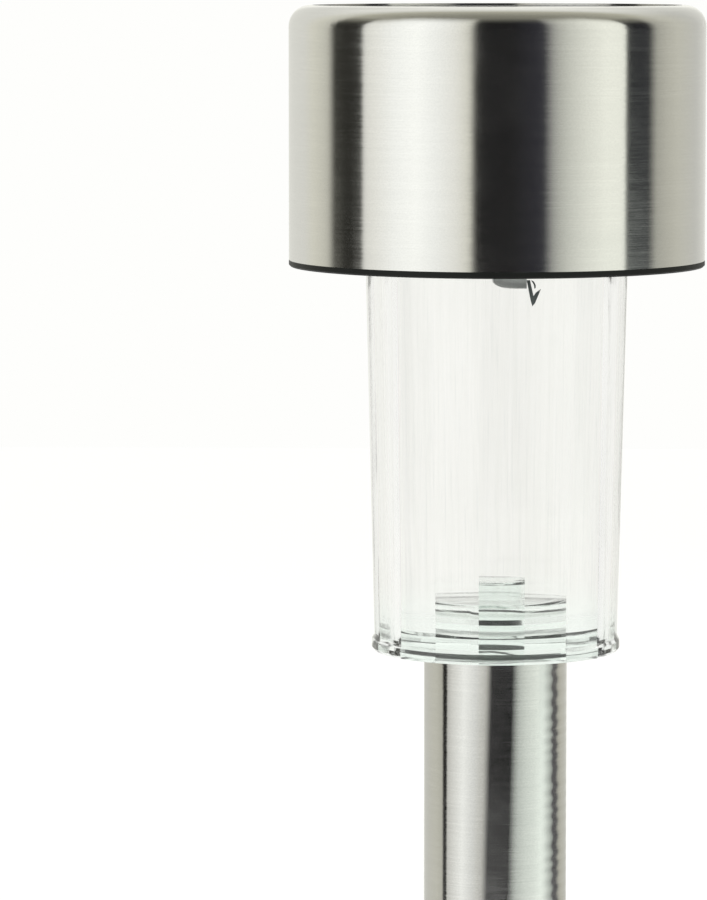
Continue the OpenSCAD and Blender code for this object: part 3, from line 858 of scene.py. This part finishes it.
    def _shine(self, shader: Shader) -> Socket:
        """Gives the dome's brightness at each place, divided by the studio's peak level.

        Args:
            shader: The dome's shader.

        Returns:
            The colour.
        """
        x, y, z = shader.split(shader.place())
        minus_y = shader.math("MULTIPLY", y, -1.0)
        share = shader.math("ADD", shader.math("DIVIDE", shader.math("ARCTAN2", x, minus_y), math.tau), 0.5)
        flat = shader.math("ADD", shader.math("POWER", x, 2.0), shader.math("POWER", y, 2.0))
        rise = shader.math("ARCTAN2", shader.math("SUBTRACT", z, self.dome_z), shader.math("SQRT", flat))
        rise = shader.math("DEGREES", rise)
        head = self._ramp(shader, share, self.head_stops)
        pole = self._ramp(shader, share, self.pole_stops)
        level = shader.blend(shader.ranged(rise, self.pole_elevation, self.head_elevation), pole, head)
        depth = shader.math("ADD", shader.math("DIVIDE", y, 2 * self.dome_radius), 0.5)
        ceiling = self._ramp(shader, depth, self.ceiling_stops)
        turn = shader.math("MULTIPLY", shader.math("ABSOLUTE", shader.math("SUBTRACT", share, 0.5)), 360.0)
        from_card = shader.math("ABSOLUTE", shader.math("SUBTRACT", turn, self.card_angle))
        drop = shader.ranged(from_card, *self.card_reach, self.card_drop, 0.0)
        over = shader.ranged(shader.math("ADD", rise, drop), self.box_top, self.box_top + self.box_fade)
        return shader.blend(shader.math("POWER", over, self.box_curve), level, ceiling)

    def _ramp(self, shader: Shader, share: Socket, ramp_stops: Iterable[Stop]) -> Socket:
        """Adds a colour ramp from -180 to 180 degrees.

        Args:
            shader: The shader that it belongs to.
            share: The place along the ramp, from 0 to 1.
            ramp_stops: The levels along it.

        Returns:
            The ramp's colour, divided by the studio's peak level.
        """
        node = shader.add("ValToRGB", Fac=share)
        ramp = node.color_ramp
        ramp.interpolation = "LINEAR"
        for index, stop in enumerate(ramp_stops):
            place = stop.angle / 360 + 0.5
            element = ramp.elements[index] if index < 2 else ramp.elements.new(place)
            element.position = place
            element.color = (*tinted(stop.tint, stop.level / self.peak), 1.0)
        return node.outputs["Color"]

    def _lamp(self, name: str, place: Triple, size: float, power: float) -> None:
        """Makes a soft square lamp that points at the object and doesn't show in gloss.

        Args:
            name: Name of the lamp.
            place: Where it stands.
            size: Its width.
            power: Its power in watts.
        """
        data = bpy.data.lights.new(name, "AREA")
        data.size = size
        data.energy = power
        lamp = bpy.data.objects.new(name, data)
        lamp.location = place
        lamp.rotation_euler = (Vector(self.lamp_aim) - Vector(place)).to_track_quat("-Z", "Y").to_euler()
        lamp.visible_glossy = False
        lamp.visible_camera = False
        lamp.visible_transmission = False
        bpy.context.scene.collection.objects.link(lamp)


# -------- mesh helpers


def mesh_object(name: str, corners: Sequence[Sequence[float]], faces: Sequence[Sequence[int]],
                material: Material, smooth: bool = False) -> Piece:
    """Makes an object from corners and faces, with its faces turned outwards.

    Args:
        name: Name of the piece.
        corners: The corners' places.
        faces: The corners of each face.
        material: The material of the whole piece.
        smooth: Whether its faces are shaded smooth.

    Returns:
        The new object, in the scene.
    """
    mesh = bpy.data.meshes.new(name)
    mesh.from_pydata([tuple(c) for c in corners], [], [tuple(f) for f in faces])
    form = bmesh.new()
    form.from_mesh(mesh)
    bmesh.ops.recalc_face_normals(form, faces=form.faces)
    form.to_mesh(mesh)
    form.free()
    mesh.materials.append(material)
    for polygon in mesh.polygons:
        polygon.use_smooth = smooth
    piece = bpy.data.objects.new(name, mesh)
    bpy.context.scene.collection.objects.link(piece)
    return piece


def ring_faces(rings: int, steps: int) -> Faces:
    """Gives the faces between neighbouring rings of corners.

    Args:
        rings: Number of rings.
        steps: Number of corners of each ring.

    Returns:
        The corners of each face.
    """
    faces: Faces = []
    for ring in range(rings - 1):
        for step in range(steps):
            first, after = ring * steps + step, ring * steps + (step + 1) % steps
            faces.append((first, after, after + steps, first + steps))
    return faces


def swept(name: str, path: Sequence[Vector], radius: float, material: Material, sides: int) -> Piece:
    """Makes a round bar along a path with closed ends.

    Args:
        name: Name of the piece.
        path: The centre line.
        radius: The bar's radius.
        material: The material of the bar.
        sides: Number of sides of its cross section.

    Returns:
        The new object.
    """
    corners: list[Vector] = []
    last = len(path) - 1
    for index, centre in enumerate(path):
        way = (path[min(index + 1, last)] - path[max(index - 1, 0)]).normalized()
        spare = Vector((0.0, 0.0, 1.0)) if abs(way.z) < 0.9 else Vector((1.0, 0.0, 0.0))
        first = way.cross(spare).normalized()
        second = way.cross(first)
        for side in range(sides):
            angle = math.tau * side / sides
            corners.append(centre + radius * (math.cos(angle) * first + math.sin(angle) * second))
    faces = ring_faces(last + 1, sides)
    faces.append(tuple(range(sides - 1, -1, -1)))
    faces.append(tuple(range(last * sides, (last + 1) * sides)))
    return mesh_object(name, corners, faces, material, smooth=True)


def turned(name: str, profile: Outline, centre: Vector, material: Material, steps: int) -> Piece:
    """Makes a turned form about a vertical axis.

    Args:
        name: Name of the piece.
        profile: Radius and height of each corner, from one end on the axis to the other.
        centre: The place of the axis at height 0.
        material: The material of the piece.
        steps: Number of steps round the axis.

    Returns:
        The new object.
    """
    corners: list[Triple] = []
    rings: list[list[int]] = []
    for radius, height in profile:
        if radius < 1e-7:
            rings.append([len(corners)])
            corners.append((centre.x, centre.y, centre.z + height))
            continue
        rings.append(list(range(len(corners), len(corners) + steps)))
        for step in range(steps):
            angle = math.tau * step / steps
            corners.append((centre.x + radius * math.cos(angle), centre.y + radius * math.sin(angle),
                            centre.z + height))
    faces: Faces = []
    for lower, upper in zip(rings, rings[1:]):
        for step in range(steps):
            after = (step + 1) % steps
            if len(lower) == 1:
                faces.append((lower[0], upper[after], upper[step]))
            elif len(upper) == 1:
                faces.append((lower[step], lower[after], upper[0]))
            else:
                faces.append((lower[step], lower[after], upper[after], upper[step]))
    return mesh_object(name, corners, faces, material, smooth=True)


# -------- sub-assemblies


@dataclass
class SubAssembly:
    """A group of pieces that ride on one CAD body."""

    nodes: dict[str, Piece]
    camera: PhotoCamera
    body: str = "head"
    slots: Slots = ()

    def dress(self) -> None:
        """Gives each CAD node of this group its finish."""
        for name, finish in self.slots:
            piece = self.nodes[name]
            material = finish.build()
            for slot in piece.material_slots:
                slot.material = material
            log.info("dressed %s in %s", name, finish.name)

    def build(self) -> None:
        """Adds this group's own pieces to the CAD nodes. Most groups have none."""

    def add(self, piece: Piece, slot: str) -> None:
        """Lets a new piece ride on this group's body.

        Args:
            piece: The new piece.
            slot: Not used.
        """
        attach(piece, self.body)
        log.info("added %s to %s", piece.name, self.body)


@dataclass
class GroundSpike(SubAssembly):
    """The black spike that the pole stands on."""

    body: str = "spike"
    slots: Slots = (
        ("ground_spike", Plastic("spike_black", (0.022, 0.022, 0.023), 0.42, grain_depth=0.006 * MM)),
    )


@dataclass
class Pole(SubAssembly):
    """The steel tube."""

    body: str = "pole"
    slots: Slots = (
        ("pole_tube", BrushedSteel("pole_steel", roughness=0.12, hair=0.05, oval=0.05, chatter=0.02)),
    )


@dataclass
class Lens(SubAssembly):
    """The clear lens, its adapter and the alignment mark."""

    body: str = "lamp_lens"
    slots: Slots = (
        ("lens", ClearPlastic("lens_clear", (0.9795, 0.979, 0.968), 0.05, streak=(0.922, 0.925, 0.905),
                              foot=(0.96, 0.985, 0.966))),
        ("pole_adapter", ClearPlastic("adapter_clear", (0.945, 0.985, 0.968), 0.03,
                                      streak=(0.94, 0.97, 0.96), foot=(0.95, 0.98, 0.965))),
    )
    mark_relief: float = 0.06 * MM
    mark_sink: float = 0.1
    pixel_size: float = 0.1335 * MM
    # Left stroke, barb and shaft edge of the mark, in pixels of the photograph from its middle, y up.
    mark_outlines: tuple[Outline, ...] = (
        ((-6.5, 13.5), (-3.2, 13.5), (0.4, -2.0), (0.6, -10.5), (-0.6, -12.0), (-2.4, -6.0)),
        ((0.4, -2.0), (3.0, 1.5), (7.8, 4.6), (5.6, -0.6), (2.0, -9.0), (0.6, -10.5)),
        ((-2.2, 13.6), (0.6, 12.2), (2.6, 8.6), (2.4, 5.6), (1.2, 5.2), (0.9, 8.4), (-0.8, 11.4)),
    )

    def build(self) -> None:
        """Adds the alignment mark to the dressed lens."""
        ink = Plastic("mark_grey", (0.14, 0.165, 0.16), 0.5, pattern=Pattern.SMOOTH)
        centre, normal = self.camera.put(POINTS["arrow_mark"], self.nodes["lens"])
        tree = surface_tree(finished_mesh(self.nodes["lens"]))
        right = Vector((0.0, 0.0, 1.0)).cross(normal).normalized()
        corners: list[Vector] = []
        faces: Faces = []
        for outline in self.mark_outlines:
            base, count = len(corners), len(outline)
            for x, y in outline:
                flat = centre + right * (x * self.pixel_size) + Vector((0.0, 0.0, y * self.pixel_size))
                spot, out, _, _ = tree.find_nearest(flat)
                corners.append(spot + out * self.mark_relief)
                corners.append(spot + out * (self.mark_relief * self.mark_sink))
            faces.append(tuple(base + 2 * i for i in range(count)))
            faces.append(tuple(base + 2 * i + 1 for i in reversed(range(count))))
            for i in range(count):
                after = (i + 1) % count
                faces.append((base + 2 * i, base + 2 * i + 1, base + 2 * after + 1, base + 2 * after))
        mark = mesh_object("alignment_mark", corners, faces, ink.build())
        self.add(mark, "adapter_plastic")
        middle = sum((v.co for v in mark.data.vertices), Vector()) / len(corners)
        self.camera.check_place("arrow_mark", middle)


@dataclass
class Seal(SubAssembly):
    """The rubber ring between the lens and the head."""

    body: str = "seal"
    slots: Slots = (
        ("seal_ring", Plastic("seal_rubber", (0.03, 0.03, 0.03), 0.7, 0.2 * MM, 0.01 * MM)),
    )


@dataclass
class HeadShells(SubAssembly):
    """The steel cap, the black plastic under it and the screws."""

    slots: Slots = (
        ("cap_shell", BrushedSteel("cap_steel")),
        ("top_housing", Plastic("housing_black", (0.01, 0.01, 0.011), 0.45, shine=0.3)),
        ("base_plate", Plastic("base_black", (0.008, 0.009, 0.008), 0.5, shine=0.2)),
        ("cover_screws", PlatedMetal("zinc_plate")),
    )


@dataclass
class SolarPanel(SubAssembly):
    """The panel in the top of the head."""

    slots: Slots = (
        ("panel_board", Plastic("panel_backing", (0.02, 0.03, 0.025), 0.5)),
        ("solar_cells", SolarCell("silicon_blue")),
        ("cell_busbars", PlatedMetal("tinned_ribbon", (0.75, 0.75, 0.76), 0.3)),
        ("panel_resin", ClearEpoxy("panel_resin_clear")),
    )


@dataclass
class Electrics(SubAssembly):
    """Battery, contacts, circuit board, lamp and wires."""

    slots: Slots = (
        ("battery_can", PlatedMetal("nickel_plate", (0.7, 0.7, 0.69), 0.18)),
        ("battery_sleeve", Plastic("sleeve_green", (0.03, 0.3, 0.13), 0.25, coat=0.4,
                                   pattern=Pattern.SMOOTH)),
        ("contact_spring", PlatedMetal("spring_nickel")),
        ("contact_plates", PlatedMetal("contact_nickel", (0.72, 0.7, 0.63), 0.25)),
        ("circuit_board", Plastic("board_green", (0.015, 0.12, 0.045), 0.3, pattern=Pattern.TRACKS,
                                  second=(0.03, 0.22, 0.08), coat=0.5)),
        ("board_screws", PlatedMetal("board_screw_zinc")),
        ("driver_chip", Plastic("chip_epoxy", (0.015, 0.015, 0.016), 0.55, 0.12 * MM)),
        ("inductor", Plastic("ferrite_grey", (0.05, 0.05, 0.055), 0.6, 0.15 * MM, 0.008 * MM)),
        ("led", ClearEpoxy("lamp_epoxy", (0.6, 0.64, 0.63), 0.3, clearness=0.6)),
        ("led_legs", PlatedMetal("tinned_leg")),
        ("switch_body", PlatedMetal("switch_plate")),
        ("red_wires", Plastic("wire_red", (0.5, 0.02, 0.015), 0.35, pattern=Pattern.SMOOTH, coat=0.2)),
        ("black_wires", Plastic("wire_black", (0.015, 0.015, 0.015), 0.35, coat=0.2,
                                pattern=Pattern.SMOOTH)),
    )
    frame_wire: float = 0.25 * MM
    frame_top: float = 0.1 * MM
    frame_foot: float = 0.42
    frame_bend: Pair = (0.45, 0.36)
    cup_profile: Outline = ((0.0, 0.5 * MM), (0.35 * MM, 0.5 * MM), (0.75 * MM, 0.0), (0.9 * MM, 0.0),
                            (0.8 * MM, 0.75 * MM), (0.0, 0.8 * MM))
    cup_aside: float = 0.35 * MM
    cup_height: float = 0.3
    winding_radius: float = 2.2 * MM
    drum_flange: float = 1.0 * MM
    winding_wire: float = 0.13 * MM
    winding_turns: int = 9
    winding_steps: int = 24

    def build(self) -> None:
        """Adds the lamp's lead frame and the winding of the inductor."""
        self._lead_frame()
        self._winding()

    def _lead_frame(self) -> None:
        """Makes the cup and the two posts that show inside the lamp's clear body."""
        metal = PlatedMetal("lead_frame_silver", (0.75, 0.75, 0.74), 0.2).build()
        low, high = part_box("led")
        middle = (low + high) / 2
        leg_low, leg_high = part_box("led_legs")
        height = high.z - low.z
        for name, x in (("lamp_cup_post", leg_low.x + self.frame_wire),
                        ("lamp_bond_post", leg_high.x - self.frame_wire)):
            top = Vector((x, middle.y, high.z - self.frame_top))
            foot = Vector((x, middle.y, low.z + height * self.frame_foot))
            bent = Vector((middle.x + (x - middle.x) * self.frame_bend[0], middle.y,
                           low.z + height * self.frame_bend[1]))
            self.add(swept(name, [top, foot, bent], self.frame_wire, metal, 8), "leg_metal")
        place = Vector((middle.x - self.cup_aside, middle.y, low.z + height * self.cup_height))
        self.add(turned("lamp_cup", self.cup_profile, place, metal, 24), "leg_metal")

    def _winding(self) -> None:
        """Makes the copper winding on the inductor's drum."""
        copper = PlatedMetal("enamelled_copper", (0.72, 0.33, 0.13), 0.25, (0.5, 0.2, 0.08)).build()
        low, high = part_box("inductor")
        middle = (low + high) / 2
        start, rise = low.z + self.drum_flange, high.z - low.z - 2 * self.drum_flange
        path: list[Vector] = []
        for step in range(self.winding_steps * self.winding_turns + 1):
            angle = math.tau * step / self.winding_steps
            path.append(Vector((middle.x + self.winding_radius * math.cos(angle),
                                middle.y + self.winding_radius * math.sin(angle),
                                start + rise * step / (self.winding_steps * self.winding_turns))))
        self.add(swept("inductor_winding", path, self.winding_wire, copper, 6), "contact_metal")


@dataclass
class SwitchKnob(SubAssembly):
    """The sliding knob of the switch."""

    body: str = "knob"
    slots: Slots = (
        ("switch_knob", Plastic("knob_black", (0.02, 0.02, 0.02), 0.4)),
    )


def main() -> None:
    """Builds the camera, the studio and each sub-assembly in order."""
    logging.basicConfig(level=logging.INFO, format="%(name)s: %(message)s")
    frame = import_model()
    nodes = frame["nodes"]
    bpy.context.scene.view_settings.view_transform = "Standard"
    camera = PhotoCamera()
    camera.build()
    Studio().build()
    kinds = (GroundSpike, Pole, Lens, Seal, HeadShells, SolarPanel, Electrics, SwitchKnob)
    parts = [kind(nodes, camera) for kind in kinds]
    for part in parts:
        part.dress()
    for part in parts:
        part.build()
    for name, node, side in (
        ("cap_left", "cap_shell", Side.LEFT), ("cap_right", "cap_shell", Side.RIGHT),
        ("cap_crest", "cap_shell", Side.TOP), ("cap_edge", "cap_shell", Side.BOTTOM),
        ("rim_edge", "base_plate", Side.BOTTOM), ("lens_left", "lens", Side.LEFT),
        ("lens_right", "lens", Side.RIGHT), ("bead_left", "lens", Side.LEFT),
        ("bead_right", "lens", Side.RIGHT), ("lens_foot", "lens", Side.BOTTOM),
        ("pole_left", "pole_tube", Side.LEFT), ("pole_right", "pole_tube", Side.RIGHT),
        ("lamp", "led", Side.BOTTOM),
    ):
        camera.check(name, nodes[node], side)


if __name__ == "__main__":
    main()
